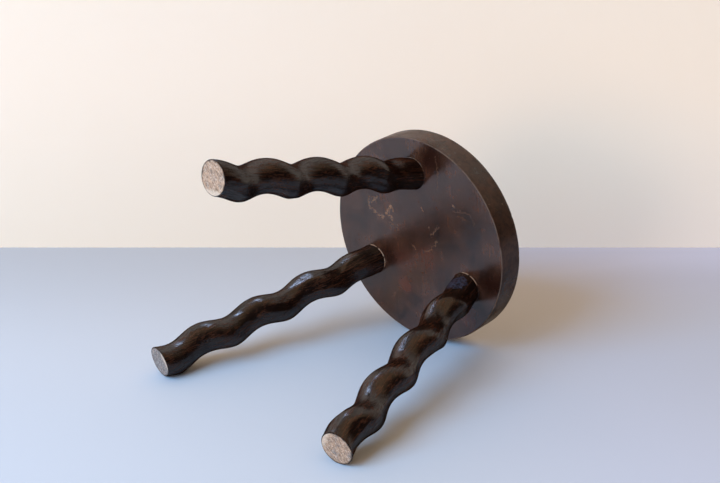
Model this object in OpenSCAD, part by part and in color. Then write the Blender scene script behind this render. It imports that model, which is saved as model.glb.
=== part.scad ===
// Three-legged milking stool: a round slab seat on three splayed legs, each carved
// with a single right-handed twist. A leg ends in a round tenon, which goes right
// through an angled mortise in the seat and is spread there by a wedge.
// Millimetres, +Z up. The origin is on the floor, below the centre of the seat.

/* [Seat] */
// Diameter of the round seat slab
seat_d = 260; // [230:1:320]
// Thickness of the seat slab
seat_t = 35; // [30:0.5:45]
// Height of the seat's top above the floor
seat_h = 332; // [270:1:420]
// Rounding of the rim's top edge
top_round = 4; // [1:0.5:10]
// Chamfer of the rim's bottom edge
bottom_chamfer = 1.2; // [0.4:0.1:4]

/* [Legs] */
// Diameter of the circle through the leg centres, at the seat's underside
joint_circle_d = 172; // [140:1:180]
// Diameter of the circle where the legs' centre lines meet the floor
foot_circle_d = 340; // [270:1:400]
// Diameter of a leg's round section
leg_d = 37.5; // [34:0.5:44]
// How far the twist carries that section off the leg's centre line
twist_offset = 3.6; // [1:0.1:6]
// Length of one full turn of the twist
twist_pitch = 74.5; // [55:1:120]
// Length below the seat over which the twist grows to its full offset
run_out = 65; // [20:1:80]
// Angle of the foot's face from a square cut, towards level
foot_cut = 5.5; // [0:0.5:8]

/* [Twist of each leg] */
// Direction of the twist's offset at the right leg's foot, counted from the inner side
right_turn = 9; // [0:1:360]
// Direction of the twist's offset at the left leg's foot, counted from the inner side
left_turn = 83; // [0:1:360]
// Direction of the twist's offset at the back leg's foot, counted from the inner side
back_turn = 176; // [0:1:360]

/* [Joints] */
// Diameter of the round tenon on each leg
tenon_d = 28; // [22:0.5:31]
// Gap all round a tenon in its mortise, where the glue is
glue_gap = 0.1; // [0.05:0.05:0.3]
// Thickness of a wedge, level with the seat's top
wedge_t = 4; // [3:0.1:6]
// Thickness of a wedge at its thin end
wedge_tip_t = 1.2; // [0.8:0.1:2]
// Length of a wedge, down from the seat's top
wedge_l = 24; // [16:0.5:26]
// Gap between a wedge and each face of its slot
wedge_gap = 0.05; // [0.02:0.01:0.1]

/* [Hidden] */

// Where each leg stands, as an angle round the seat from +X
right_azimuth = -30;
left_azimuth = 210;
back_azimuth = 90;

joint_r = joint_circle_d / 2;
foot_r = foot_circle_d / 2;
seat_under = seat_h - seat_t;
splay = atan2(foot_r - joint_r, seat_under);
// Length of a tenon's centre line inside the seat
tenon_l = seat_t / cos(splay);
// Cutting shapes run this far past the surface that they cut
past = 20;
// A tenon's bar starts this far down inside its leg
tenon_root = 10;

rim_facets = 180;
edge_facets = 48;
tenon_facets = 96;
leg_sides = 40;
rings_a_turn = 16;
leg_rings = ceil(rings_a_turn * seat_under / twist_pitch);

stain = [0.17, 0.10, 0.075];
bare_wood = [0.72, 0.58, 0.42];

// Puts a piece made along a leg's centre line in its place: z = 0 is at the seat's
// underside, +z runs down to the foot, and +x points to the inner side of the leg.
module along_leg(azimuth) {
    rotate([0, 0, azimuth])
        translate([joint_r, 0, seat_under])
            rotate([0, 180 - splay, 0])
                children();
}

// Everything above the seat's top
module above_seat() {
    translate([0, 0, seat_h + past])
        cube([2 * seat_d, 2 * seat_d, 2 * past], center = true);
}

// From 0 to 1, level at both ends
function smooth(t) = let(c = max(0, min(1, t))) c * c * (3 - 2 * c);

// Centre of a leg's section, s below the seat, on a leg that is len long
function twist_centre(s, turn, len) =
    let(a = turn - 360 * (len - s) / twist_pitch, offset = twist_offset * smooth(s / run_out))
    [offset * cos(a), offset * sin(a)];

// Point at angle a of the slanted ring that crosses the centre line s below the seat.
// The ring's plane falls by slope for each millimetre towards the outer side.
function ring_point(s, slope, a, turn, len) =
    let(round = leg_d / 2 * [cos(a), sin(a)])
    let(rough = twist_centre(s, turn, len) + round)
    let(p = twist_centre(s - slope * rough[0], turn, len) + round)
    [p[0], p[1], s - slope * p[0]];

// How far the foot's centre is lifted, so that its lowest edge is on the floor
function foot_lift(turn) =
    let(slope = sin(splay) - tan(foot_cut) * cos(splay))
    leg_d / 2 * abs(slope) + twist_offset * cos(turn) * slope;

function leg_length(turn) = (seat_under - foot_lift(turn)) / cos(splay);

// The twisted length below the seat. Its first ring lies in the seat's underside,
// and its last ring is the foot's face.
module twisted_leg(turn) {
    len = leg_length(turn);
    points = [
        for (i = [0 : leg_rings], j = [0 : leg_sides - 1])
            let(t = i / leg_rings, slope = (1 - t) * tan(splay) + t * tan(foot_cut))
            ring_point(len * t, slope, 360 * j / leg_sides, turn, len)
    ];
    sides = [
        for (i = [0 : leg_rings - 1], j = [0 : leg_sides - 1])
            let(k = (j + 1) % leg_sides, a = i * leg_sides, b = a + leg_sides)
            each [[a + j, b + j, b + k], [a + j, b + k, a + k]]
    ];
    top_end = [for (j = [0 : leg_sides - 1]) j];
    foot_face = [for (j = [leg_sides - 1 : -1 : 0]) leg_rings * leg_sides + j];
    polyhedron(points, concat(sides, [top_end, foot_face]));
}

// Round bar of a tenon or a mortise, from above the seat down to z = low
module tenon_bar(d, low) {
    translate([0, 0, -tenon_l - past])
        cylinder(h = tenon_l + past + low, d = d, $fn = tenon_facets);
}

// Flat wedge shape across the tenon, at right angles to the seat's grain, which runs
// along Y. The gap is added to both of its faces and to its thin end.
module wedge_shape(azimuth, gap) {
    slope = (wedge_t - wedge_tip_t) / (2 * wedge_l);
    top = wedge_t / 2 + past * slope + gap;
    tip = wedge_tip_t / 2 + gap;
    rotate([0, 0, azimuth])
        rotate([90, 0, 90])
            linear_extrude(height = tenon_d + past, center = true)
                polygon([
                    [-top, -tenon_l - past], [top, -tenon_l - past],
                    [tip, wedge_l - tenon_l + gap], [-tip, wedge_l - tenon_l + gap]
                ]);
}

module leg(azimuth, turn) {
    color(stain) {
        along_leg(azimuth)
            twisted_leg(turn);
        difference() {
            along_leg(azimuth)
                difference() {
                    tenon_bar(tenon_d, tenon_root);
                    wedge_shape(azimuth, wedge_gap);
                }
            above_seat();
        }
    }
}

module wedge(azimuth) {
    color(bare_wood)
        difference() {
            along_leg(azimuth)
                intersection() {
                    wedge_shape(azimuth, 0);
                    tenon_bar(tenon_d, 0);
                }
            above_seat();
        }
}

module seat_profile() {
    r = seat_d / 2;
    polygon([
        [0, 0], [r - bottom_chamfer, 0], [r, bottom_chamfer],
        [r, seat_t - top_round], [r - top_round, seat_t], [0, seat_t]
    ]);
    intersection() {
        translate([r - top_round, seat_t - top_round])
            circle(r = top_round, $fn = edge_facets);
        square([r, seat_t]);
    }
}

module seat() {
    color(stain)
        difference() {
            translate([0, 0, seat_under])
                rotate_extrude($fn = rim_facets)
                    seat_profile();
            for (azimuth = [right_azimuth, left_azimuth, back_azimuth])
                along_leg(azimuth)
                    tenon_bar(tenon_d + 2 * glue_gap, past);
        }
}

module leg_right() {
    leg(right_azimuth, right_turn);
}

module leg_left() {
    leg(left_azimuth, left_turn);
}

module leg_back() {
    leg(back_azimuth, back_turn);
}

module wedge_right() {
    wedge(right_azimuth);
}

module wedge_left() {
    wedge(left_azimuth);
}

module wedge_back() {
    wedge(back_azimuth);
}

seat();
leg_right();
leg_left();
leg_back();
wedge_right();
wedge_left();
wedge_back();
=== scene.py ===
"""Milking stool with three twist-carved legs: its finish, and the stage and light round it.

Lengths are metres in the part's own frame: +Z up, the origin on the floor below the seat's centre.
"""
import math
import random

import bmesh
import bpy
from bpy.props import FloatProperty, FloatVectorProperty, IntProperty, PointerProperty
from mathutils import Matrix, Vector, noise


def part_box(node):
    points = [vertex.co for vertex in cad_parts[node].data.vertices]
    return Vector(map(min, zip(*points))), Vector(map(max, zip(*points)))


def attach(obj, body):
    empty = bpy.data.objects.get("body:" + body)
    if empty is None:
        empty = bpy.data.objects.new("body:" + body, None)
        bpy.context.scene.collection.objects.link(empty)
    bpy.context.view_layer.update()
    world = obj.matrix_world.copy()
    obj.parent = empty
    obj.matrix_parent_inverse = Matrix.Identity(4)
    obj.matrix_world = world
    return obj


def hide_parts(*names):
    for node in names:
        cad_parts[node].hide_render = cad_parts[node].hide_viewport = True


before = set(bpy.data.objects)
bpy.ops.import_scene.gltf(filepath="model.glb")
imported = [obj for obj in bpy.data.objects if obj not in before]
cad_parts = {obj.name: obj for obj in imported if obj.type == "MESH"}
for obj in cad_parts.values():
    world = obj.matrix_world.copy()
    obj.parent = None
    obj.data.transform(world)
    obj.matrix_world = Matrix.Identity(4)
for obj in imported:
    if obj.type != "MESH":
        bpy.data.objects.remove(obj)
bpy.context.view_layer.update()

bl_info = {
    "name": "Milking Stool",
    "version": (1, 0, 0),
    "blender": (4, 5, 0),
    "location": "View3D > Sidebar > Stool",
    "description": "Three-legged milking stool with twist-carved legs in a dark waxed stain",
    "category": "Add Mesh",
}

MM = 0.001
SEAT_LOW, SEAT_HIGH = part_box("seat")
SEAT_RADIUS = (SEAT_HIGH.x - SEAT_LOW.x) / 2
UNDERSIDE = SEAT_LOW.z
SEAT_TOP = SEAT_HIGH.z

# Size of the picture that the camera was matched to, in pixels
PICTURE_WIDTH = 720
PICTURE_HEIGHT = 483

# Where each leg stands, as an angle round the seat from +X
LEG_AZIMUTHS = {"right": math.radians(-30), "left": math.radians(210), "back": math.radians(90)}
# How dirty each foot is, from 0 to 1
GRIME = {"right": 1.0, "left": 0.35, "back": 0.2}
# How many of the flats each leg has, as a share
CARVED = {"right": 0.7, "left": 1.0, "back": 0.35}
# Where old glue shows round each joint: the middle and half the width of the arc, in degrees from the inner
# side, and how strongly it shows
GLUE = {"right": (10, 60, 0.85), "left": (-85, 37, 0.75), "back": (150, 40, 0.3)}
# How far each leg's grain is shifted along the wood, so that no two legs look the same
GRAIN_SHIFT = {"right": 0, "left": 700 * MM, "back": 1400 * MM}
# Which way each foot was sawn, in degrees from the inner side
SAWN = {"right": 45, "left": -29, "back": 45}
# Where a bluish reflection is painted near the left leg's root, in millimetres in that leg's shifted frame
PAINTED_REFLECTION_PLACE = (11, -15.2, 717)

# Colours of marks on the stain, and of the painted shade and reflection on it
REDDISH_STAIN = (0.085, 0.022, 0.012)
# Painted shade: the legs' dark reflection beside their roots
PAINTED_ROOT_SHADE = (0.016, 0.005, 0.003)
STAINED_PORE = (0.003, 0.002, 0.0015)
SCRATCH = (0.44, 0.24, 0.13)
DUST = (0.40, 0.34, 0.32)
WORN_EDGE = (0.22, 0.16, 0.125)
RIM_STAIN = (0.075, 0.040, 0.022)
HANDLED_RIM = (0.016, 0.009, 0.006)
DENT = (0.22, 0.13, 0.075)
OLD_GLUE = (0.40, 0.25, 0.16)
# Painted reflection: the bluish shine of a bright light in the wax
PAINTED_REFLECTION = (0.036, 0.042, 0.068)
# Colours of marks on the bare feet
OPEN_PORE = (0.19, 0.12, 0.08)
PALE_FIBRE = (0.72, 0.58, 0.46)
DIRTY_PORE = (0.06, 0.05, 0.045)
RUBBED_DIRT = (0.50, 0.48, 0.47)
RUBBED_WOOD = (0.68, 0.53, 0.40)
STAINED_EDGE = (0.05, 0.032, 0.022)
# Colours of the wedges' grain
WEDGE_DARK = (0.10, 0.055, 0.032)
WEDGE_WARM = (0.26, 0.16, 0.095)
BLACK = (0.0, 0.0, 0.0)


class SeatSettings(bpy.types.PropertyGroup):
    """Sizes of the seat slab's edges."""

    arris: FloatProperty(
        name="Lower arris", description="Rounding of the slab's lower edge",
        default=1.3 * MM, min=0.4 * MM, max=4 * MM, unit="LENGTH")
    top_round: FloatProperty(
        name="Top edge", description="Rounding of the slab's top edge",
        default=4 * MM, min=1 * MM, max=10 * MM, unit="LENGTH")
    unevenness: FloatProperty(
        name="Unevenness", description="How far the hand-finished rim strays inwards from a true circle",
        default=0.35 * MM, min=0, max=1 * MM, unit="LENGTH")
    nicks: IntProperty(
        name="Nicks", description="Number of small knocks along the two edges of the rim",
        default=26, min=0, max=80)


class LegSettings(bpy.types.PropertyGroup):
    """Sizes of the three twisted legs."""

    joint_circle: FloatProperty(
        name="Joint circle",
        description="Diameter of the circle through the legs' centres at the seat's underside",
        default=172 * MM, min=140 * MM, max=180 * MM, unit="LENGTH")
    foot_circle: FloatProperty(
        name="Foot circle",
        description="Diameter of the circle where the legs' centre lines meet the floor",
        default=340 * MM, min=270 * MM, max=400 * MM, unit="LENGTH")
    diameter: FloatProperty(
        name="Diameter", description="Diameter of a leg's round section",
        default=37.5 * MM, min=34 * MM, max=44 * MM, unit="LENGTH")
    twist_offset: FloatProperty(
        name="Twist offset", description="How far the twist carries the section off the leg's centre line",
        default=3.6 * MM, min=1 * MM, max=6 * MM, unit="LENGTH")
    twist_pitch: FloatProperty(
        name="Twist pitch", description="Length of one full turn of the twist",
        default=74.5 * MM, min=55 * MM, max=120 * MM, unit="LENGTH")
    run_out: FloatProperty(
        name="Run-out", description="Length below the seat over which the twist grows to its full offset",
        default=65 * MM, min=20 * MM, max=80 * MM, unit="LENGTH")
    foot_cut: FloatProperty(
        name="Foot cut", description="Angle of the foot's face from a square cut, towards level",
        default=math.radians(5.5), min=0, max=math.radians(8), unit="ROTATION")
    right_turn: FloatProperty(
        name="Right leg's turn", description="Direction of the twist's offset at the right foot",
        default=math.radians(9), unit="ROTATION")
    left_turn: FloatProperty(
        name="Left leg's turn", description="Direction of the twist's offset at the left foot",
        default=math.radians(83), unit="ROTATION")
    back_turn: FloatProperty(
        name="Back leg's turn", description="Direction of the twist's offset at the back foot",
        default=math.radians(176), unit="ROTATION")
    tenon: FloatProperty(
        name="Tenon", description="Diameter of the round tenon that goes through the seat",
        default=28 * MM, min=22 * MM, max=31 * MM, unit="LENGTH")
    glue_gap: FloatProperty(
        name="Glue gap", description="Gap all round a tenon in its mortise",
        default=0.1 * MM, min=0.05 * MM, max=0.3 * MM, unit="LENGTH")
    hand_work: FloatProperty(
        name="Hand work", description="Unevenness that the carver's tools left on the leg",
        default=0.35 * MM, min=0, max=1 * MM, unit="LENGTH")
    glue_bead: FloatProperty(
        name="Glue bead", description="Size of the bead of old glue round the joint",
        default=0.6 * MM, min=0, max=2 * MM, unit="LENGTH")
    facet_depth: FloatProperty(
        name="Facets", description="Depth of the flats that the carver's knife left",
        default=1.3 * MM, min=0, max=2 * MM, unit="LENGTH")
    cuts: IntProperty(
        name="Cuts", description="Number of those flats on a leg",
        default=46, min=0, max=120)
    foot_edge: FloatProperty(
        name="Foot edge", description="Rounding of the edge round the foot's face",
        default=0.9 * MM, min=0.2 * MM, max=3 * MM, unit="LENGTH")


class FinishSettings(bpy.types.PropertyGroup):
    """Colours of the stain, the bare wood and the marks."""

    dark_stain: FloatVectorProperty(
        name="Dark stain", description="Colour where the stain is thick", subtype="COLOR",
        default=(0.0075, 0.0035, 0.0025), min=0, max=1)
    warm_stain: FloatVectorProperty(
        name="Warm stain", description="Colour where the stain is thin", subtype="COLOR",
        default=(0.050, 0.0185, 0.0095), min=0, max=1)
    bare_wood: FloatVectorProperty(
        name="Bare wood", description="Colour of the bare wood of the feet", subtype="COLOR",
        default=(0.50, 0.31, 0.20), min=0, max=1)
    dirt: FloatVectorProperty(
        name="Dirt", description="Colour of the dirt on the feet", subtype="COLOR",
        default=(0.18, 0.175, 0.18), min=0, max=1)


class StageSettings(bpy.types.PropertyGroup):
    """Camera, floor, wall and light."""

    camera_place: FloatVectorProperty(
        name="Camera", description="Place of the camera", subtype="TRANSLATION",
        default=(-0.8994, 0.5689, -0.6880))
    camera_turn: FloatVectorProperty(
        name="Camera turn", description="Rotation of the camera", subtype="EULER",
        default=(math.radians(153.055), math.radians(-43.426), math.radians(-174.313)))
    lens: FloatProperty(
        name="Lens", description="Focal length of the camera in millimetres, on a 36 mm sensor",
        default=59.885, min=20, max=120)
    wall_row: FloatProperty(
        name="Wall row", description="Row of the 720 x 483 picture where the wall meets the floor",
        default=247.5)
    floor_colour: FloatVectorProperty(
        name="Floor", description="Colour of the floor", subtype="COLOR",
        default=(0.515, 0.61, 0.72), min=0, max=1)
    wall_colour: FloatVectorProperty(
        name="Wall", description="Colour of the wall", subtype="COLOR",
        default=(0.86, 0.69, 0.52), min=0, max=1)


class Wire:
    """A value in a node tree. Arithmetic with it adds Math nodes."""

    def __init__(self, tree, socket):
        self.tree = tree
        self.socket = socket

    def math(self, operation, *others, clamp=False):
        return calculate(self.tree, operation, self, *others, clamp=clamp)

    def clamped(self):
        """This value, kept between 0 and 1."""
        return self.math("ADD", 0.0, clamp=True)

    def __add__(self, other):
        return self.math("ADD", other)

    def __sub__(self, other):
        return self.math("SUBTRACT", other)

    def __mul__(self, other):
        return self.math("MULTIPLY", other)

    def __truediv__(self, other):
        return self.math("DIVIDE", other)

    def __rsub__(self, other):
        return calculate(self.tree, "SUBTRACT", other, self)

    __radd__ = __add__
    __rmul__ = __mul__


def feed(tree, socket, value):
    """Links a wire to a socket, or sets the socket to a plain value."""
    if isinstance(value, Wire):
        tree.links.new(value.socket, socket)
    else:
        socket.default_value = value


def add(tree, kind, inputs=None, **settings):
    """Adds a node with these settings, and feeds its inputs by name or number."""
    node = tree.nodes.new(kind)
    for name, value in settings.items():
        setattr(node, name, value)
    for key, value in (inputs or {}).items():
        feed(tree, node.inputs[key], value)
    return node


def result(tree, node, output=0):
    return Wire(tree, node.outputs[output])


def calculate(tree, operation, *values, clamp=False):
    node = add(tree, "ShaderNodeMath", dict(enumerate(values)), operation=operation, use_clamp=clamp)
    return result(tree, node)


def fade(value, start, end, low=0.0, high=1.0, kind="SMOOTHSTEP"):
    """Takes a value from low at start to high at end."""
    node = add(
        value.tree, "ShaderNodeMapRange", {0: value, 1: start, 2: end, 3: low, 4: high},
        interpolation_type=kind)
    return result(value.tree, node)


def vector(tree, x, y, z):
    return result(tree, add(tree, "ShaderNodeCombineXYZ", {0: x, 1: y, 2: z}))


def split(value):
    """The three parts of a vector."""
    node = add(value.tree, "ShaderNodeSeparateXYZ", {0: value})
    return [result(value.tree, node, i) for i in range(3)]


def speckle(point, scale, detail=2.0, roughness=0.5):
    """A smooth random value from 0 to 1 over space."""
    node = add(
        point.tree, "ShaderNodeTexNoise",
        {"Vector": point, "Scale": scale, "Detail": detail, "Roughness": roughness})
    return result(point.tree, node)


def opaque(colour):
    return (*colour, 1.0)


def blend(tree, share, under, over):
    """One colour with another over it by share."""
    node = add(tree, "ShaderNodeMix", {0: share, 6: under, 7: over}, data_type="RGBA")
    return result(tree, node, 2)


def cover(colour, share, paint):
    """A colour with a fixed one over it by share."""
    return blend(colour.tree, share, colour, opaque(paint))


def object_point(tree):
    """Where the shaded point lies in its own object's coordinates."""
    return Wire(tree, add(tree, "ShaderNodeTexCoord").outputs["Object"])


def attribute(tree, name, output="Vector"):
    """What the piece's mesh holds under this name."""
    return Wire(tree, add(tree, "ShaderNodeAttribute", attribute_name=name).outputs[output])


def new_group(name, kind, inputs, outputs):
    """A node group with the given sockets, its input wires by name, and its output node."""
    tree = bpy.data.node_groups.new(name, kind)
    for label, socket, default in inputs:
        made = tree.interface.new_socket(label, in_out="INPUT", socket_type=socket)
        if default is not None:
            made.default_value = default
    for label, socket in outputs:
        tree.interface.new_socket(label, in_out="OUTPUT", socket_type=socket)
    entry = tree.nodes.new("NodeGroupInput")
    wires = {label: Wire(tree, entry.outputs[label]) for label, _, _ in inputs}
    return tree, wires, tree.nodes.new("NodeGroupOutput")


def place_group(tree, group, inputs):
    """Puts a shader group into a material's tree and returns its outputs by name."""
    node = tree.nodes.new("ShaderNodeGroup")
    node.node_tree = group
    for key, value in inputs.items():
        feed(tree, node.inputs[key], value)
    return {socket.name: Wire(tree, socket) for socket in node.outputs}


NUMBER = "NodeSocketFloat"
WHOLE = "NodeSocketInt"
POINT = "NodeSocketVector"
COLOUR = "NodeSocketColor"
SHAPE = "NodeSocketGeometry"
FINISH = "NodeSocketMaterial"


def wood_group():
    """Stained wood with its grain along Z: growth rings, fibres, open pores and uneven stain."""
    if "Stained Wood" in bpy.data.node_groups:
        return bpy.data.node_groups["Stained Wood"]
    tree, ins, end = new_group(
        "Stained Wood", "ShaderNodeTree",
        [("Point", POINT, None), ("Dark", COLOUR, None), ("Warm", COLOUR, None),
         ("Ring Width", NUMBER, 3.2 * MM), ("Pith Distance", NUMBER, 70 * MM), ("Warmth", NUMBER, 0.5),
         ("Streaks", NUMBER, 1.0), ("Blotches", NUMBER, 1.0)],
        [("Colour", COLOUR), ("Dullness", NUMBER), ("Height", NUMBER)])
    x, y, z = split(ins["Point"])
    slow = vector(tree, x, y, z * 0.12)
    wander = speckle(slow, 22.0) - 0.5
    away_x = x - ins["Pith Distance"]
    pith = (away_x * away_x + y * y).math("SQRT") + wander * (14 * MM)
    ring = (pith / ins["Ring Width"]).math("FRACT")
    late = ring.math("POWER", 3.0) * (1.0 - fade(ring, 0.93, 1.0))
    streak = speckle(vector(tree, x, y, z * 0.06), 170.0, 3.0, 0.6)
    fibre = fibres(tree, x, y, z)
    pores = fade(speckle(vector(tree, x, y, z * 0.045), 2100.0, 1.0), 0.60, 0.72)
    blotch = speckle(ins["Point"], 26.0, 4.0, 0.6)
    mottle = speckle(ins["Point"], 95.0, 3.0, 0.65)
    lines = ((streak - 0.5) * 1.3 + (fibre - 0.5) * 2.2 - late * 0.35) * ins["Streaks"]
    clouds = ((blotch - 0.5) * 2.0 + (mottle - 0.5) * 0.9) * ins["Blotches"]
    tone = lines + clouds + ins["Warmth"]
    colour = blend(tree, tone.clamped(), ins["Dark"], ins["Warm"])
    feed(tree, end.inputs["Colour"], cover(colour, pores * 0.65, STAINED_PORE))
    dull = fade(mottle, 0.45, 0.75) * 0.4 + pores * 0.4 + fade(fibre, 0.45, 0.62) * 0.4 * ins["Streaks"]
    feed(tree, end.inputs["Dullness"], dull.clamped())
    grooves = (fibre * 0.9 + streak * 0.3 - late * 0.2) * ins["Streaks"]
    feed(tree, end.inputs["Height"], grooves - pores * 0.4)
    return tree


def arrow(tree, operation, *values, output=0):
    """Arithmetic with whole vectors. The output is 1 where the operation gives a single number."""
    node = add(tree, "ShaderNodeVectorMath", dict(enumerate(values)), operation=operation)
    return result(tree, node, output)


def fibres(tree, x, y, z):
    """Fine fibres along z."""
    return speckle(vector(tree, x, y, z * 0.05), 480.0, 3.0, 0.7)


def stroke(point, start, stop, width, strength, before):
    """Adds a thin straight stroke between two places to the mask before it.

    The point hangs on that mask by a hair, so that the renderer works the strokes out one after
    another. Worked out side by side they need more room than a shader has, and the surface turns black.
    """
    tree = point.tree
    hair = 1e-9
    along = stop - start
    from_start = arrow(tree, "SUBTRACT", arrow(tree, "ADD", point, before * hair), start)
    share = arrow(tree, "DOT_PRODUCT", from_start, along / along.length_squared, output=1).clamped()
    nearest = result(tree, add(tree, "ShaderNodeVectorMath", {0: along, "Scale": share}, operation="SCALE"))
    away = arrow(tree, "DISTANCE", from_start, nearest, output=1)
    return before.math("MAXIMUM", fade(away, width * 0.3, width, strength, 0.0))


def new_material(name):
    """An empty material, its node tree, and its Principled shader already linked to the output."""
    material = bpy.data.materials.new(name)
    material.use_nodes = True
    tree = material.node_tree
    return material, tree, tree.nodes["Principled BSDF"]


def bump(tree, shader, height, distance, socket="Normal"):
    """Roughens the surface, or its coat of wax, by a height."""
    node = add(tree, "ShaderNodeBump", {"Height": height, "Distance": distance})
    feed(tree, shader.inputs[socket], result(tree, node))


def gloss(shader, tree, weight, roughness, index=1.5, glance=0.05):
    """A thin coat of wax over matt wood. Glance is how much of its shine is left along the surface."""
    shader.inputs["Specular IOR Level"].default_value = 0.0
    shader.inputs["Roughness"].default_value = 0.8
    shader.inputs["Coat IOR"].default_value = index
    slant = result(tree, add(tree, "ShaderNodeLayerWeight", {"Blend": 0.5}), 1)
    weight = weight.clamped() * fade(slant, 0.36, 0.80, 1.0, glance)
    feed(tree, shader.inputs["Coat Weight"], weight)
    shader.inputs["Coat Roughness"].default_value = roughness


# Scratches on the underside, in millimetres from the seat's centre: the points that each runs
# through, its width, and how strongly it shows
SCRATCHES = [
    ([(75, 44), (76.5, 35), (74.5, 26), (71, 28)], 0.9, 0.5),
    ([(69, 42), (62, 41.5), (60.5, 44)], 1.2, 0.45),
    ([(71, 34.5), (64.5, 40), (63, 36)], 1.2, 0.55),
    ([(69, 25), (67.5, 21), (64.5, 25.5)], 1.3, 0.4),
    ([(60, 20), (54, 22), (52.5, 19), (55.5, 16.5)], 1.5, 0.6),
    ([(47.5, 25), (44, 28.5), (39.5, 37.5), (36, 32), (36, 29)], 1.4, 0.85),
    ([(43, 23), (39, 23), (36.5, 20.5), (38.5, 18)], 1.3, 0.6),
    ([(42, 31), (40.5, 27)], 1.1, 0.6),
    ([(43, 14), (35.5, 13), (27.5, 7)], 0.7, 0.3),
    ([(-36.5, 26), (-31, 19.5), (-24.5, 13)], 1.0, 0.5),
    ([(6, -6), (4.5, -9.5), (2, -12.5)], 1.2, 0.6),
    ([(-33.5, 6.5), (-28.5, 0), (-19.5, -9.5), (-13, -11.5)], 1.0, 0.5),
    ([(-12.5, 44), (-12.5, 42.5)], 1.3, 1.0),
    ([(-22, 22), (-22.5, 21)], 1.1, 0.8),
    ([(-60, 58.5), (-61, 57)], 1.1, 0.8),
    ([(-37, 113), (-40, 104), (-37, 75)], 0.6, 0.3),
    ([(-58, 51), (-74, 53), (-85, 52), (-91, 41)], 0.6, 0.22),
    ([(-66, 46), (-84, 44)], 0.6, 0.2),
]
# Places where the stain is thin and reddish, in millimetres: centre, radius, strength
THIN_STAIN = [
    ((21, -34), 26, 0.4),
    ((22, -66), 18, 0.8),
    ((-20, -22), 26, 0.5),
    ((-75, -78), 26, 0.6),
    ((-20, 90), 26, 0.25),
]
# Places beside the roots with a painted dark reflection of the legs: the colour darker and the wax shine
# less
ROOT_SHADE_PATCHES = [
    ((-113, -30), 27, 0.95),
    ((-34, 107), 26, 0.9),
    ((50, -30), 19, 0.75),
]


def stain_or_shade_patches(tree, place, patches):
    """How strongly a patch of other stain, or of painted shade, shows at each point of the underside."""
    cloud = speckle(place, 45.0, 3.0) - 0.5
    total = 0.0
    for (px, py), radius, strength in patches:
        away = arrow(tree, "DISTANCE", place, Vector((px * MM, py * MM, UNDERSIDE)), output=1)
        reach = radius * MM
        total = fade(away + cloud * (reach * 1.3), reach, reach * 0.25) * strength + total
    return total


def seat_marks(tree, place):
    """How strongly a scratch shows at each point of the underside."""
    x, y, _ = split(place)
    sway = 13 * MM
    bent_x = x + (speckle(place, 230.0, 3.0, 0.7) - 0.5) * sway
    bent_y = y + (speckle(place, 190.0, 3.0, 0.7) - 0.5) * sway
    bent = vector(tree, bent_x, bent_y, 0.0)
    marks = x * 0.0
    for points, width, strength in SCRATCHES:
        places = [Vector((px, py, 0)) * MM for px, py in points]
        for start, stop in zip(places, places[1:]):
            marks = stroke(bent, start, stop, width * MM, strength, marks)
    return marks * fade(speckle(place, 620.0, 3.0, 0.7), 0.33, 0.56)


def seat_material(finish):
    """Dark waxed slab with its grain along Y, a worn arris, scratches, thin stain here and there, and a
    painted dark reflection of the legs beside their roots.
    """
    material, tree, shader = new_material("seat_stain")
    place = object_point(tree)
    turned = add(tree, "ShaderNodeMapping", {"Vector": place, "Rotation": (math.radians(90), 0, 0)})
    wood = place_group(tree, wood_group(), {
        "Point": result(tree, turned), "Dark": opaque(finish.dark_stain * 2.3),
        "Warm": opaque(finish.warm_stain * 1.3), "Ring Width": 9 * MM, "Pith Distance": 210 * MM,
        "Warmth": 0.60, "Streaks": 0.42, "Blotches": 1.3})
    x, y, z = split(place)
    low = 1.0 - fade(z, UNDERSIDE + 0.5 * MM, UNDERSIDE + 2 * MM)
    thin = stain_or_shade_patches(tree, place, THIN_STAIN) * low
    # thick is painted shade beside the roots, standing for the legs' dark reflection
    thick = stain_or_shade_patches(tree, place, ROOT_SHADE_PATCHES) * low
    colour = cover(wood["Colour"], thin, REDDISH_STAIN)
    colour = cover(colour, thick, PAINTED_ROOT_SHADE)
    marks = seat_marks(tree, place) * low
    colour = cover(colour, marks * 0.62, SCRATCH)
    dust = fade(speckle(place, 620.0, 2.0, 0.7), 0.66, 0.76) * fade(speckle(place, 30.0), 0.40, 0.65)
    colour = cover(colour, dust * 0.22, DUST)
    reach = (x * x + y * y).math("SQRT")
    outer = fade(reach, SEAT_RADIUS - 1.6 * MM, SEAT_RADIUS - 0.9 * MM)
    arris = outer * (1.0 - fade(z, UNDERSIDE + 0.7 * MM, UNDERSIDE + 1.4 * MM))
    worn = arris * fade(speckle(place, 60.0, 4.0, 0.6), 0.30, 0.52)
    colour = cover(colour, worn * 0.45, WORN_EDGE)
    rim = outer * (1.0 - low)
    colour = cover(colour, rim * 0.25, RIM_STAIN)
    handled = rim * fade(speckle(place, 130.0, 4.0, 0.7), 0.46, 0.60)
    colour = cover(colour, handled * 0.5, HANDLED_RIM)
    knocks = fade(speckle(place, 150.0, 3.0, 0.7), 0.62, 0.70) * fade(speckle(place, 18.0), 0.50, 0.60)
    dents = rim * knocks
    feed(tree, shader.inputs["Base Color"], cover(colour, dents * 0.5, DENT))
    haze = speckle(place, 34.0, 5.0, 0.62)
    dull = fade(haze, 0.42, 0.66) * 0.22 + wood["Dullness"] * 0.18 + marks * 0.7 + worn * 0.5
    # The wax shines less where that painted shade lies
    gloss(shader, tree, 1.15 - dull - outer * 0.6 - thick * 0.9, 0.22, 1.74, 0.9)
    damage = marks * 0.8 + dents * 0.8
    bump(tree, shader, wood["Height"] - damage, 0.1 * MM)
    bump(tree, shader, fibres(tree, x, z, y) * 0.45 - damage, 0.1 * MM, "Coat Normal")
    return material


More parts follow.
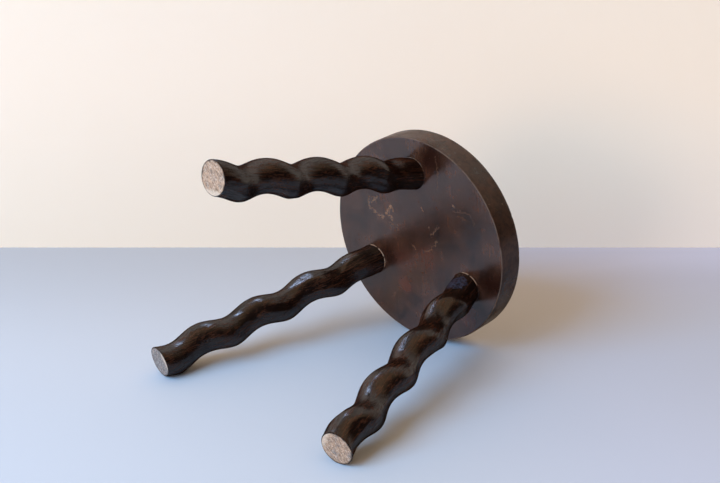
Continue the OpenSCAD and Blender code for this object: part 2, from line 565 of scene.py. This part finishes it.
def leg_material(finish):
    """Near-black waxed stain with fine grain along the leg, a bead of old glue at the joint, and a painted
    bluish reflection near the left leg's root.
    """
    material, tree, shader = new_material("leg_stain")
    place = attribute(tree, "leg_point")
    wood = place_group(tree, wood_group(), {
        "Point": place, "Dark": opaque(finish.dark_stain), "Warm": opaque(finish.warm_stain),
        "Ring Width": 3.4 * MM, "Pith Distance": 45 * MM, "Warmth": 0.32, "Streaks": 1.4, "Blotches": 0.8})
    down = attribute(tree, "below_seat", "Fac")
    glue = attribute(tree, "glue", "Fac")
    bead = (1.0 - fade(down, 0.6 * MM, 1.0 * MM)) * glue * fade(speckle(place, 160.0, 3.0), 0.36, 0.50)
    worked = fade(speckle(place, 38.0, 2.0), 0.44, 0.58)
    # Painted reflection: a bluish patch near the left leg's root, where the wax would catch a bright light
    away = arrow(tree, "DISTANCE", place, Vector(PAINTED_REFLECTION_PLACE) * MM, output=1)
    away = away + (speckle(place, 200.0, 2.0) - 0.5) * (9 * MM)
    painted_reflection = fade(away, 14.5 * MM, 11.5 * MM) * fade(speckle(place, 420.0, 3.0, 0.7), 0.34, 0.60)
    colour = cover(wood["Colour"], bead * 0.8, OLD_GLUE)
    feed(tree, shader.inputs["Base Color"], cover(colour, painted_reflection * 0.8, PAINTED_REFLECTION))
    dull = wood["Dullness"] + bead * 0.6
    gloss(shader, tree, 1.0 - dull * 0.6, 0.20)
    chatter = speckle(place, 560.0, 1.0) * worked * 0.7
    bump(tree, shader, wood["Height"] + chatter, 0.34 * MM)
    bump(tree, shader, fibres(tree, *split(place)) * 1.2 + chatter, 0.28 * MM, "Coat Normal")
    return material


def foot_material(finish):
    """Bare end grain of a foot: growth rings, pores, dirt and a dark rim."""
    material, tree, shader = new_material("foot_end_grain")
    place = attribute(tree, "leg_point")
    across = attribute(tree, "across")
    along_saw, over_saw, _ = split(attribute(tree, "sawn"))
    x, y, _ = split(place)
    away_x = x - 30 * MM
    pith = (away_x * away_x + y * y).math("SQRT") + (speckle(place, 60.0) - 0.5) * (3 * MM)
    ring = (pith / (2.6 * MM)).math("FRACT").math("POWER", 2.0)
    sawn = speckle(vector(tree, along_saw * 0.25, over_saw, 0.0), 600.0, 3.0, 0.75)
    pores = fade(sawn, 0.46, 0.55)
    pale = fade(speckle(place, 520.0, 2.0, 0.7), 0.53, 0.62)
    grime = attribute(tree, "grime", "Fac")
    dirt = fade(speckle(place, 120.0, 5.0, 0.75) + (grime - 0.5) * 0.35, 0.40, 0.68)
    u, v, _ = split(across)
    reach = (u * u + v * v).math("SQRT")
    rough_edge = (speckle(place, 240.0, 2.0) - 0.5) * 0.3
    inner = fade(u + rough_edge, 0.62, 0.86)
    rim = fade(reach + rough_edge * 0.6, 0.90, 1.0) * fade(u, 0.8, 0.2)
    colour = blend(tree, ring * 0.15 + pores * 0.82, opaque(finish.bare_wood), opaque(OPEN_PORE))
    colour = cover(colour, pale * 0.55, PALE_FIBRE)
    colour = cover(colour, dirt * 0.8, finish.dirt)
    colour = cover(colour, dirt * pores * 0.45, DIRTY_PORE)
    colour = cover(colour, dirt * pale * 0.4, RUBBED_DIRT)
    colour = cover(colour, inner * 0.65, RUBBED_WOOD)
    feed(tree, shader.inputs["Base Color"], cover(colour, rim * 0.85, STAINED_EDGE))
    feed(tree, shader.inputs["Roughness"], 0.75 + pores * 0.15)
    bump(tree, shader, pores * -0.6 - ring * 0.4, 0.2 * MM)
    return material


def wedge_material(finish):
    """Pale wedge wood under a thin rub of stain, with its grain straight down."""
    material, tree, shader = new_material("wedge_wood")
    place = object_point(tree)
    wood = place_group(tree, wood_group(), {
        "Point": place, "Dark": opaque(WEDGE_DARK), "Warm": opaque(WEDGE_WARM),
        "Ring Width": 1.6 * MM, "Pith Distance": 30 * MM, "Warmth": 0.5})
    feed(tree, shader.inputs["Base Color"], wood["Colour"])
    gloss(shader, tree, 0.7 - wood["Dullness"] * 0.4, 0.25)
    bump(tree, shader, wood["Height"], 0.1 * MM)
    bump(tree, shader, fibres(tree, *split(place)) * 0.9, 0.1 * MM, "Coat Normal")
    return material


def knife_cuts(tree, ins, around, down, length):
    """The leg's radius after the carver's last cuts, flats along the grain over the twist's crest."""
    start = tree.nodes.new("GeometryNodeRepeatInput")
    finish = tree.nodes.new("GeometryNodeRepeatOutput")
    start.pair_with_output(finish)
    finish.repeat_items.clear()
    finish.repeat_items.new("FLOAT", "Radius")
    feed(tree, start.inputs["Iterations"], ins["Cuts"])
    feed(tree, start.inputs["Radius"], ins["Radius"])
    number = Wire(tree, start.outputs["Iteration"])

    def draw(low, high, seed):
        node = add(tree, "FunctionNodeRandomValue", data_type="FLOAT")
        for name, value in (("Min", low), ("Max", high), ("ID", number)):
            feed(tree, [s for s in node.inputs if s.name == name and s.enabled][0], value)
        feed(tree, node.inputs["Seed"], ins["Seed"] * 20.0 + seed)
        return Wire(tree, [s for s in node.outputs if s.enabled][0])

    half_length = draw(14 * MM, 26 * MM, 1)
    middle = draw(0.0, 1.0, 2) * length
    crest = ins["Turn"] - (length - middle) / ins["Pitch"] * math.tau
    angle = around - crest - draw(-1.9, 1.9, 3)
    share = 1.0 - ((down - middle) / half_length).math("POWER", 2.0)
    depth = draw(0.25, 1.0, 4) * ins["Facet Depth"]
    flat = (ins["Radius"] - depth * share) / angle.math("COSINE").math("MAXIMUM", 0.2)
    facing = angle.math("COSINE").math("GREATER_THAN", 0.5)
    far = ins["Radius"] * 2.0
    cut = far + (flat - far) * facing
    before = Wire(tree, start.outputs["Radius"])
    feed(tree, finish.inputs["Radius"], before.math("SMOOTH_MIN", cut, 0.07 * MM))
    return Wire(tree, finish.outputs["Radius"])


def leg_tree():
    """Geometry Nodes for a twisted leg along +Z: a round section whose centre winds about the axis."""
    if "Twisted Leg" in bpy.data.node_groups:
        return bpy.data.node_groups["Twisted Leg"]
    tree, ins, end = new_group(
        "Twisted Leg", "GeometryNodeTree",
        [("Sides", WHOLE, 120), ("Rings", WHOLE, 260), ("Length", NUMBER, 0.3), ("Radius", NUMBER, 19 * MM),
         ("Offset", NUMBER, 3.6 * MM), ("Pitch", NUMBER, 75 * MM), ("Run-out", NUMBER, 60 * MM),
         ("Turn", NUMBER, 0.0), ("Top Slope", NUMBER, 0.27), ("Foot Slope", NUMBER, 0.1),
         ("Glue Bead", NUMBER, 0.8 * MM), ("Foot Edge", NUMBER, 0.9 * MM),
         ("Hand Work", NUMBER, 0.3 * MM), ("Facet Depth", NUMBER, 0.8 * MM), ("Cuts", WHOLE, 40),
         ("Seed", NUMBER, 0.0), ("Side Finish", FINISH, None), ("Foot Finish", FINISH, None)],
        [("Geometry", SHAPE)])
    tree.is_modifier = True
    edge_rings = 6
    cap_rings = 14
    stick = add(
        tree, "GeometryNodeMeshCylinder",
        {"Vertices": ins["Sides"], "Side Segments": ins["Rings"], "Fill Segments": cap_rings,
         "Radius": 1.0, "Depth": 1.0}, fill_type="TRIANGLE_FAN")
    x, y, height = split(result(tree, add(tree, "GeometryNodeInputPosition")))
    ring = (height + 0.5) * ins["Rings"]
    last = ins["Rings"] - edge_rings
    length = ins["Length"]
    middle = length - ins["Glue Bead"] - ins["Foot Edge"]
    down = (
        fade(ring, 0.0, edge_rings, 0.0, ins["Glue Bead"], "LINEAR")
        + fade(ring, edge_rings, last, 0.0, middle, "LINEAR")
        + fade(ring, last, ins["Rings"], 0.0, ins["Foot Edge"], "LINEAR"))
    share = down / length
    slope = (1.0 - share) * ins["Top Slope"] + share * ins["Foot Slope"]

    def centre(depth):
        angle = ins["Turn"] - (length - depth) / ins["Pitch"] * math.tau
        reach = fade(depth, 0.0, ins["Run-out"], 0.0, ins["Offset"])
        return angle.math("COSINE") * reach, angle.math("SINE") * reach

    flare = (1.0 - fade(down, 0.0, ins["Glue Bead"], kind="LINEAR")).math("POWER", 2.0) * ins["Glue Bead"]
    turn_in = 1.0 - fade(length - down, 0.0, ins["Foot Edge"], kind="LINEAR")
    inset = (1.0 - (1.0 - turn_in * turn_in).math("SQRT")) * ins["Foot Edge"]
    spot = vector(tree, x * ins["Radius"], y * ins["Radius"], down * 0.45 + ins["Seed"])
    worked = (speckle(spot, 75.0) - 0.5) * 1.6 + (speckle(spot, 260.0) - 0.5) * 0.45
    steady = fade(down, 1 * MM, 8 * MM) * fade(length - down, 0.5 * MM, 5 * MM)
    around = y.math("ARCTAN2", x)
    carved = knife_cuts(tree, ins, around, down, length)
    radius = carved + flare - inset + worked * ins["Hand Work"] * steady
    radius = radius + (1.0 - steady) * (ins["Radius"] - carved)
    round_x = x * radius
    round_y = y * radius
    rough_x = centre(down)[0] + round_x
    centre_x, centre_y = centre(down - slope * rough_x)
    final_x = centre_x + round_x
    final_y = centre_y + round_y
    shape = result(tree, stick)
    kept = [("across", "FLOAT_VECTOR", vector(tree, x, y, share)), ("below_seat", "FLOAT", down)]
    for name, kind, value in kept:
        store = add(
            tree, "GeometryNodeStoreNamedAttribute", {0: shape, "Name": name},
            data_type=kind, domain="POINT")
        feed(tree, [s for s in store.inputs if s.name == "Value" and s.enabled][0], value)
        shape = result(tree, store)
    moved = add(tree, "GeometryNodeSetPosition", {
        0: shape, "Position": vector(tree, final_x, final_y, down - slope * final_x)})
    real = add(tree, "GeometryNodeRealizeInstances", {0: result(tree, moved)})
    side = add(tree, "GeometryNodeSetMaterial", {0: result(tree, real), "Material": ins["Side Finish"]})
    foot_face = Wire(tree, stick.outputs["Top"])
    foot = add(tree, "GeometryNodeSetMaterial", {
        0: result(tree, side), "Selection": foot_face, "Material": ins["Foot Finish"]})
    feed(tree, end.inputs["Geometry"], result(tree, foot))
    return tree


def new_object(name, mesh):
    made = bpy.data.objects.new(name, mesh)
    bpy.context.scene.collection.objects.link(made)
    return made


def bake_modifiers(made):
    """Turns an object's modifiers into its plain mesh."""
    graph = bpy.context.evaluated_depsgraph_get()
    mesh = bpy.data.meshes.new_from_object(
        made.evaluated_get(graph), preserve_all_data_layers=True, depsgraph=graph)
    made.modifiers.clear()
    made.data = mesh
    return mesh


def combine(made, other, operation):
    """Joins another object's solid to this one's, or cuts it out, and removes the other."""
    cut = made.modifiers.new(operation.lower(), "BOOLEAN")
    cut.operation = operation
    cut.solver = "EXACT"
    cut.object = other
    bake_modifiers(made)
    bpy.data.objects.remove(other)


def along_leg(azimuth, settings):
    """From a leg's own frame, with z down its centre line from the underside, to the stool's frame."""
    joint_radius = settings.joint_circle / 2
    return (
        Matrix.Rotation(azimuth, 4, "Z")
        @ Matrix.Translation((joint_radius, 0, UNDERSIDE))
        @ Matrix.Rotation(math.pi - splay_of(settings), 4, "Y"))


def splay_of(settings):
    return math.atan2((settings.foot_circle - settings.joint_circle) / 2, UNDERSIDE)


def leg_length(turn, settings):
    """Length of a leg's centre line, which puts the lowest edge of its foot on the floor."""
    splay = splay_of(settings)
    slope = math.sin(splay) - math.tan(settings.foot_cut) * math.cos(splay)
    lift = settings.diameter / 2 * abs(slope) + settings.twist_offset * math.cos(turn) * slope
    return (UNDERSIDE - lift) / math.cos(splay)


def bar(name, place, radius, low, high, sides):
    """A round bar on a leg's centre line."""
    shape = bmesh.new()
    bmesh.ops.create_cone(
        shape, cap_ends=True, segments=sides, radius1=radius, radius2=radius, depth=high - low,
        matrix=place @ Matrix.Translation((0, 0, (low + high) / 2)))
    mesh = bpy.data.meshes.new(name)
    bmesh.ops.recalc_face_normals(shape, faces=shape.faces)
    shape.to_mesh(mesh)
    shape.free()
    return new_object(name, mesh)


def trim_above(made, height):
    """Cuts a closed solid level at this height and closes the cut."""
    shape = bmesh.new()
    shape.from_mesh(made.data)
    bmesh.ops.bisect_plane(
        shape, geom=[*shape.verts, *shape.edges, *shape.faces],
        plane_co=(0, 0, height), plane_no=(0, 0, 1), clear_outer=True)
    rim = [edge for edge in shape.edges if edge.is_boundary]
    bmesh.ops.contextual_create(shape, geom=rim)
    bmesh.ops.recalc_face_normals(shape, faces=shape.faces)
    shape.to_mesh(made.data)
    shape.free()


def wedge_copy(side):
    """A merged copy of a wedge, to cut its slot with."""
    shape = bmesh.new()
    shape.from_mesh(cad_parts[f"wedge_{side}"].data)
    bmesh.ops.remove_doubles(shape, verts=shape.verts, dist=0.001 * MM)
    mesh = bpy.data.meshes.new("slot")
    shape.to_mesh(mesh)
    shape.free()
    return new_object("slot", mesh)


def smooth_mesh(mesh, sharp_angle):
    mesh.polygons.foreach_set("use_smooth", [True] * len(mesh.polygons))
    mesh.set_sharp_from_angle(angle=math.radians(sharp_angle))


def keep_points(mesh, into_leg, side):
    """Stores each point in the leg's own frame, shifted along its grain, its place across the saw
    marks of the foot, and the leg's grime and glue."""
    middle, half_width, strength = GLUE[side]
    soiled = mesh.attributes.new("grime", "FLOAT", "POINT")
    soiled.data.foreach_set("value", [GRIME[side]] * len(mesh.vertices))
    glue = mesh.attributes.new("glue", "FLOAT", "POINT")
    points = mesh.attributes.new("leg_point", "FLOAT_VECTOR", "POINT")
    sawn = mesh.attributes.new("sawn", "FLOAT_VECTOR", "POINT")
    across_saw = Matrix.Rotation(math.radians(-SAWN[side]), 4, "Z")
    for vertex, glued, point, cut in zip(mesh.vertices, glue.data, points.data, sawn.data):
        place = into_leg @ vertex.co
        turn = abs(math.remainder(math.degrees(math.atan2(place.y, place.x)) - middle, 360))
        glued.value = max(0.0, min(1.0, (half_width - turn) / 10 + 0.5)) * strength
        point.vector = place + Vector((0, 0, GRAIN_SHIFT[side]))
        cut.vector = across_saw @ place


class STOOL_OT_legs(bpy.types.Operator):
    """Make the three twisted legs with their tenons"""

    bl_idname = "stool.legs"
    bl_label = "Legs"

    def execute(self, context):
        settings = context.scene.stool_legs
        finish = context.scene.stool_finish
        side_finish = leg_material(finish)
        foot_finish = foot_material(finish)
        tree = leg_tree()
        sockets = {
            item.name: item.identifier for item in tree.interface.items_tree if item.in_out == "INPUT"}
        splay = splay_of(settings)
        turns = {"right": settings.right_turn, "left": settings.left_turn, "back": settings.back_turn}
        for number, (side, azimuth) in enumerate(LEG_AZIMUTHS.items()):
            turn = turns[side]
            made = new_object(f"twisted_leg_{side}", bpy.data.meshes.new("leg"))
            modifier = made.modifiers.new("twist", "NODES")
            modifier.node_group = tree
            values = {
                "Sides": 144, "Rings": 330, "Length": leg_length(turn, settings),
                "Radius": settings.diameter / 2, "Offset": settings.twist_offset,
                "Pitch": settings.twist_pitch, "Run-out": settings.run_out, "Turn": turn,
                "Top Slope": math.tan(splay), "Foot Slope": math.tan(settings.foot_cut),
                "Glue Bead": settings.glue_bead, "Foot Edge": settings.foot_edge,
                "Hand Work": settings.hand_work, "Facet Depth": settings.facet_depth,
                "Cuts": round(settings.cuts * CARVED[side]), "Seed": 3.0 + number,
                "Side Finish": side_finish, "Foot Finish": foot_finish}
            for name, value in values.items():
                modifier[sockets[name]] = value
            bake_modifiers(made)
            place = along_leg(azimuth, settings)
            made.data.transform(place)
            root = 10 * MM
            above = (SEAT_TOP - UNDERSIDE) * 1.5
            tenon = bar("tenon", place, settings.tenon / 2, -above, root, 96)
            trim_above(tenon, SEAT_TOP)
            combine(tenon, wedge_copy(side), "DIFFERENCE")
            tenon.data.materials.append(side_finish)
            combine(made, tenon, "UNION")
            keep_points(made.data, place.inverted(), side)
            smooth_mesh(made.data, 40)
            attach(made, "root")
            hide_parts(f"leg_{side}")
        return {"FINISHED"}


def slab_profile(settings):
    """Half section of the slab, from the centre of the underside round the rim to the centre of the top."""
    radius = SEAT_RADIUS
    arris = settings.arris
    rounding = settings.top_round
    flat_steps = [0.2, 0.4, 0.6, 0.8, 0.92]
    points = [(0, UNDERSIDE)]
    points += [(radius * step, UNDERSIDE) for step in flat_steps]
    points += [(radius - arris - inset * MM, UNDERSIDE) for inset in (4, 2, 0.8)]
    arris_steps = 5
    for i in range(arris_steps + 1):
        angle = math.pi / 2 * i / arris_steps
        points.append(
            (radius - arris * (1 - math.sin(angle)), UNDERSIDE + arris * (1 - math.cos(angle))))
    rim_steps = 16
    rim_height = SEAT_TOP - rounding - UNDERSIDE - arris
    points += [(radius, UNDERSIDE + arris + rim_height * i / rim_steps) for i in range(1, rim_steps)]
    round_steps = 9
    for i in range(round_steps + 1):
        angle = math.pi / 2 * i / round_steps
        points.append(
            (radius - rounding * (1 - math.cos(angle)), SEAT_TOP - rounding * (1 - math.sin(angle))))
    points += [(radius - rounding - inset * MM, SEAT_TOP) for inset in (0.8, 2, 4)]
    points += [(radius * step, SEAT_TOP) for step in reversed(flat_steps)]
    points.append((0, SEAT_TOP))
    return points


def lathe(name, profile, steps):
    """A closed solid of revolution whose profile starts and ends on the axis."""
    shape = bmesh.new()
    bottom = shape.verts.new((0, 0, profile[0][1]))
    top = shape.verts.new((0, 0, profile[-1][1]))
    around = [(math.cos(math.tau * i / steps), math.sin(math.tau * i / steps)) for i in range(steps)]
    rings = [
        [shape.verts.new((radius * x, radius * y, height)) for x, y in around]
        for radius, height in profile[1:-1]]
    for i in range(steps):
        j = (i + 1) % steps
        shape.faces.new((bottom, rings[0][j], rings[0][i]))
        shape.faces.new((top, rings[-1][i], rings[-1][j]))
        for low, high in zip(rings, rings[1:]):
            shape.faces.new((low[i], low[j], high[j], high[i]))
    bmesh.ops.recalc_face_normals(shape, faces=shape.faces)
    mesh = bpy.data.meshes.new(name)
    shape.to_mesh(mesh)
    shape.free()
    return mesh


def wear_rim(mesh, settings):
    """Takes the rim inwards by a hair, unevenly, and knocks small nicks into its two edges."""
    draw = random.Random(11)
    nicks = []
    for _ in range(settings.nicks):
        angle = draw.uniform(0, math.tau)
        low = draw.random() < 0.6
        height = UNDERSIDE + 0.4 * MM if low else SEAT_TOP - 1.2 * MM
        centre = Vector((SEAT_RADIUS * math.cos(angle), SEAT_RADIUS * math.sin(angle), height))
        nicks.append((centre, draw.uniform(1.5, 4.5) * MM, draw.uniform(0.2, 0.7) * MM))
    near_rim = SEAT_RADIUS - 8 * MM
    for vertex in mesh.vertices:
        point = vertex.co
        reach = math.hypot(point.x, point.y)
        if reach < near_rim:
            continue
        outwards = Vector((point.x, point.y, 0)) / reach
        stray = noise.noise(point * 28) * 0.7 + noise.noise(point * 110) * 0.3
        share = (reach - near_rim) / (SEAT_RADIUS - near_rim)
        inwards = settings.unevenness * (0.5 + 0.5 * stray) * share
        for centre, size, depth in nicks:
            gap = (point - centre).length
            if gap < size:
                inwards += depth * (1 - (gap / size) ** 2) ** 2
        vertex.co = point - outwards * inwards


class STOOL_OT_seat(bpy.types.Operator):
    """Make the seat slab with its three mortises"""

    bl_idname = "stool.seat"
    bl_label = "Seat"

    def execute(self, context):
        settings = context.scene.stool_seat
        legs = context.scene.stool_legs
        mesh = lathe("seat_slab", slab_profile(settings), 720)
        wear_rim(mesh, settings)
        made = new_object("seat_slab", mesh)
        for azimuth in LEG_AZIMUTHS.values():
            place = along_leg(azimuth, legs)
            reach = (SEAT_TOP - UNDERSIDE) * 2
            hole = bar("mortise", place, legs.tenon / 2 + legs.glue_gap, -reach, reach, 128)
            combine(made, hole, "DIFFERENCE")
        made.data.materials.clear()
        made.data.materials.append(seat_material(context.scene.stool_finish))
        smooth_mesh(made.data, 40)
        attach(made, "root")
        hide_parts("seat")
        return {"FINISHED"}


class STOOL_OT_wedges(bpy.types.Operator):
    """Finish the three wedges"""

    bl_idname = "stool.wedges"
    bl_label = "Wedges"

    def execute(self, context):
        material = wedge_material(context.scene.stool_finish)
        for side in LEG_AZIMUTHS:
            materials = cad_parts[f"wedge_{side}"].data.materials
            materials.clear()
            materials.append(material)
        return {"FINISHED"}


def lying_plane():
    """A point and the normal of the plane that the stool lies on, on its rim and two of its feet."""
    meshes = [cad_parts[name].data for name in ("seat", "leg_right", "leg_left")]
    normal = Vector((0, 1, 0))
    for _ in range(5):
        rim, right, left = (min((v.co for v in mesh.vertices), key=normal.dot).copy() for mesh in meshes)
        normal = (right - rim).cross(left - rim).normalized()
        if normal.y < 0:
            normal.negate()
    return rim, normal


def one_sided(name, colour, camera_only=False, shade=None, glow=None):
    """A plain matt surface that shows on its front only. A glow is what camera and gloss see besides."""
    material, tree, shader = new_material(name)
    feed(tree, shader.inputs["Base Color"], shade(tree, opaque(colour)) if shade else opaque(colour))
    shader.inputs["Roughness"].default_value = 0.6
    shader.inputs["Specular IOR Level"].default_value = 0.25
    clear = add(tree, "ShaderNodeBsdfTransparent")
    path = add(tree, "ShaderNodeLightPath")
    seen = [Wire(tree, path.outputs[f"Is {kind} Ray"]) for kind in ("Camera", "Glossy", "Transmission")]
    front = 1.0 - Wire(tree, add(tree, "ShaderNodeNewGeometry").outputs["Backfacing"])
    if camera_only:
        front = front * seen[0]
    if glow:
        feed(tree, shader.inputs["Emission Color"], glow(tree))
        any_of_them = seen[0].math("MAXIMUM", seen[1]).math("MAXIMUM", seen[2])
        feed(tree, shader.inputs["Emission Strength"], any_of_them)
    mixed = add(tree, "ShaderNodeMixShader", {0: front, 1: result(tree, clear), 2: result(tree, shader)})
    output = tree.nodes["Material Output"]
    tree.links.new(mixed.outputs[0], output.inputs["Surface"])
    return material


def wall_glow(tree):
    """Painted light on the wall, which camera and gloss see: creamy and growing to the right, and greyer
    low down.
    """
    place = add(tree, "ShaderNodeTexCoord")
    across, height, _ = split(result(tree, place, 3))
    high = blend(tree, fade(across, -0.55, 0.6), opaque((0.17, 0.11, 0.10)), opaque((0.33, 0.27, 0.23)))
    low = blend(tree, fade(across, -0.15, 0.4), opaque((0.09, 0.07, 0.07)), opaque((0.25, 0.24, 0.25)))
    return blend(tree, fade(height, 0.30, 0.0), high, low)


def floor_shade(tree, colour):
    """The floor's colour, with painted shade near the wall, a painted shadow in a band right of the seat,
    painted bluish light at the right near the wall, dimmer where gloss reflects it, and dark in front of
    the picture.
    """
    place = add(tree, "ShaderNodeTexCoord")
    nearer, across, _ = split(result(tree, place, 3))
    # Painted shade along the wall, and a painted shadow of the seat in a band to its right
    painted_wall_shade = fade(nearer, 0.42, 0.0) * fade(across, 0.5, 0.2) * 0.15
    painted_seat_shadow = fade(nearer, 0.02, 0.14) * fade(nearer, 0.8, 0.3) * fade(across, 0.0, 0.25) * 0.13
    # Painted light: bluer at the right near the wall
    cool = fade(nearer, 0.30, 0.0, 0.35, 1.0) * fade(across, 0.0, 0.35)
    beyond = fade(nearer, 0.95, 1.25) * fade(across, -0.8, -0.3)
    colour = blend(tree, cool * 0.8, colour, opaque((0.52, 0.65, 0.98)))
    colour = cover(colour, painted_wall_shade.math("MAXIMUM", painted_seat_shadow), BLACK)
    # Painted reflection: the floor shows dimmer in the gloss
    in_gloss = Wire(tree, add(tree, "ShaderNodeLightPath").outputs["Is Glossy Ray"])
    colour = cover(colour, in_gloss * 0.2, BLACK)
    return cover(colour, beyond, (0.06, 0.055, 0.05))


def sheet(name, origin, along, up, reach, material):
    """A flat rectangle whose own x runs along and own y up. Reach is their low and high ends."""
    x_low, x_high, y_low, y_high = reach
    mesh = bpy.data.meshes.new(name)
    corners = [(x_low, y_low, 0), (x_high, y_low, 0), (x_high, y_high, 0), (x_low, y_high, 0)]
    mesh.from_pydata(corners, [], [(0, 1, 2, 3)])
    mesh.materials.append(material)
    made = new_object(name, mesh)
    facing = along.cross(up)
    made.matrix_world = Matrix.Translation(origin) @ Matrix((along, up, facing)).transposed().to_4x4()
    return made


def lamp(name, direction, distance, size, power, colour, target):
    data = bpy.data.lights.new(name, "AREA")
    data.shape = "SQUARE"
    data.size = size
    data.energy = power
    data.color = colour
    made = bpy.data.objects.new(name, data)
    made.location = target + direction.normalized() * distance
    made.rotation_euler = (-direction).to_track_quat("-Z", "Y").to_euler()
    bpy.context.scene.collection.objects.link(made)
    return made


class STOOL_OT_stage(bpy.types.Operator):
    """Make the camera, the floor, the wall and the light"""

    bl_idname = "stool.stage"
    bl_label = "Stage"

    def execute(self, context):
        settings = context.scene.stool_stage
        scene = context.scene
        data = bpy.data.cameras.new("camera")
        data.lens = settings.lens
        data.sensor_width = 36
        camera = bpy.data.objects.new("camera", data)
        camera.location = settings.camera_place
        camera.rotation_euler = settings.camera_turn
        scene.collection.objects.link(camera)
        scene.camera = camera
        context.view_layer.update()

        rim, up = lying_plane()
        eye = camera.location
        turn = camera.rotation_euler.to_matrix()

        def floor_point(column, row):
            """Where the picture's column and row look at the floor."""
            focal = settings.lens / data.sensor_width * PICTURE_WIDTH
            ray = turn @ Vector(
                ((column - PICTURE_WIDTH / 2) / focal, (PICTURE_HEIGHT / 2 - row) / focal, -1))
            return eye + ray * ((rim - eye).dot(up) / ray.dot(up))

        left = floor_point(0, settings.wall_row)
        right = floor_point(PICTURE_WIDTH, settings.wall_row)
        across = (right - left).normalized()
        middle = (left + right) / 2
        nearer = across.cross(up)
        if nearer.dot(eye - middle) < 0:
            nearer.negate()
        width = 8.0
        floor = one_sided("lying_floor", settings.floor_colour, shade=floor_shade)
        wall = one_sided("wall", settings.wall_colour, glow=wall_glow)
        floor_sheet = sheet("stage_floor", middle, nearer, across, (0, 6, -width / 2, width / 2), floor)
        wall_sheet = sheet("stage_wall", middle, across, up, (-width / 2, width / 2, 0, 5), wall)
        for made in (floor_sheet, wall_sheet):
            made.visible_shadow = False
        wall_sheet.visible_diffuse = False
        ground = one_sided("standing_floor", settings.floor_colour, camera_only=True)
        x_axis, y_axis, _ = Matrix.Identity(3)
        ground_sheet = sheet(
            "stage_ground", Vector((0, 0, 0)), x_axis, y_axis, (-10, 10, -10, 10), ground)
        ground_sheet.visible_shadow = False
        self.light(context, across, up, -nearer)
        scene.view_settings.view_transform = "Standard"
        return {"FINISHED"}

    def light(self, context, right, up, away):
        """A cool window and a warmer doorway at the left, a small glint, and the room's warm light."""
        target = Vector((0, 0, UNDERSIDE * 0.7))
        window = right * -0.68 + up * 0.53 - away * 0.53
        lamp("window_light", window, 3.0, 2.0, 136, (0.36, 0.64, 0.94), target).visible_glossy = False
        doorway = right * -0.60 + up * 0.17 - away * 0.78
        lamp("doorway_light", doorway, 3.0, 1.0, 30, (1.0, 0.77, 0.66), target).visible_glossy = False
        glint = right * -0.46 + up * 0.80 + away * 0.36
        spot = lamp("glint", glint, 0.7, 0.11, 1.5, (0.50, 0.66, 1.0), target)
        spot.visible_diffuse = spot.visible_camera = False
        world = bpy.data.worlds.new("room")
        context.scene.world = world
        world.use_nodes = True
        tree = world.node_tree
        tree.nodes.clear()
        way = Wire(tree, add(tree, "ShaderNodeTexCoord").outputs["Generated"])
        bright_way = away * 0.6 + up * 0.78 - right * 0.2
        share = fade(arrow(tree, "DOT_PRODUCT", way, bright_way, output=1), -0.05, 0.72)
        room = blend(tree, share, opaque((0.02, 0.014, 0.012)), opaque((1.14, 0.73, 0.43)))
        seen = opaque((0.87, 0.83, 0.79))
        camera_ray = Wire(tree, add(tree, "ShaderNodeLightPath").outputs["Is Camera Ray"])
        light = add(tree, "ShaderNodeBackground", {"Color": blend(tree, camera_ray, room, seen)})
        output = add(tree, "ShaderNodeOutputWorld")
        tree.links.new(light.outputs[0], output.inputs["Surface"])


class STOOL_PT_panel(bpy.types.Panel):
    """Sizes, colours and the steps that make the stool"""

    bl_idname = "STOOL_PT_panel"
    bl_label = "Milking Stool"
    bl_space_type = "VIEW_3D"
    bl_region_type = "UI"
    bl_category = "Stool"

    def draw(self, context):
        for name, operators in STEPS.items():
            box = self.layout.box()
            settings = getattr(context.scene, name)
            for field in settings.bl_rna.properties:
                if field.identifier not in {"rna_type", "name"}:
                    box.prop(settings, field.identifier)
            for operator in operators:
                box.operator(operator)


GROUPS = {
    "stool_seat": SeatSettings,
    "stool_legs": LegSettings,
    "stool_finish": FinishSettings,
    "stool_stage": StageSettings,
}
STEPS = {
    "stool_seat": ["stool.seat"],
    "stool_legs": ["stool.legs"],
    "stool_finish": ["stool.wedges"],
    "stool_stage": ["stool.stage"],
}
CLASSES = [*GROUPS.values(), STOOL_OT_seat, STOOL_OT_legs, STOOL_OT_wedges, STOOL_OT_stage, STOOL_PT_panel]


def register():
    for cls in CLASSES:
        bpy.utils.register_class(cls)
    for name, group in GROUPS.items():
        setattr(bpy.types.Scene, name, PointerProperty(type=group))


def unregister():
    for name in GROUPS:
        delattr(bpy.types.Scene, name)
    for cls in reversed(CLASSES):
        bpy.utils.unregister_class(cls)


def main():
    register()
    bpy.ops.stool.seat()
    bpy.ops.stool.legs()
    bpy.ops.stool.wedges()
    bpy.ops.stool.stage()


if __name__ == "__main__":
    main()
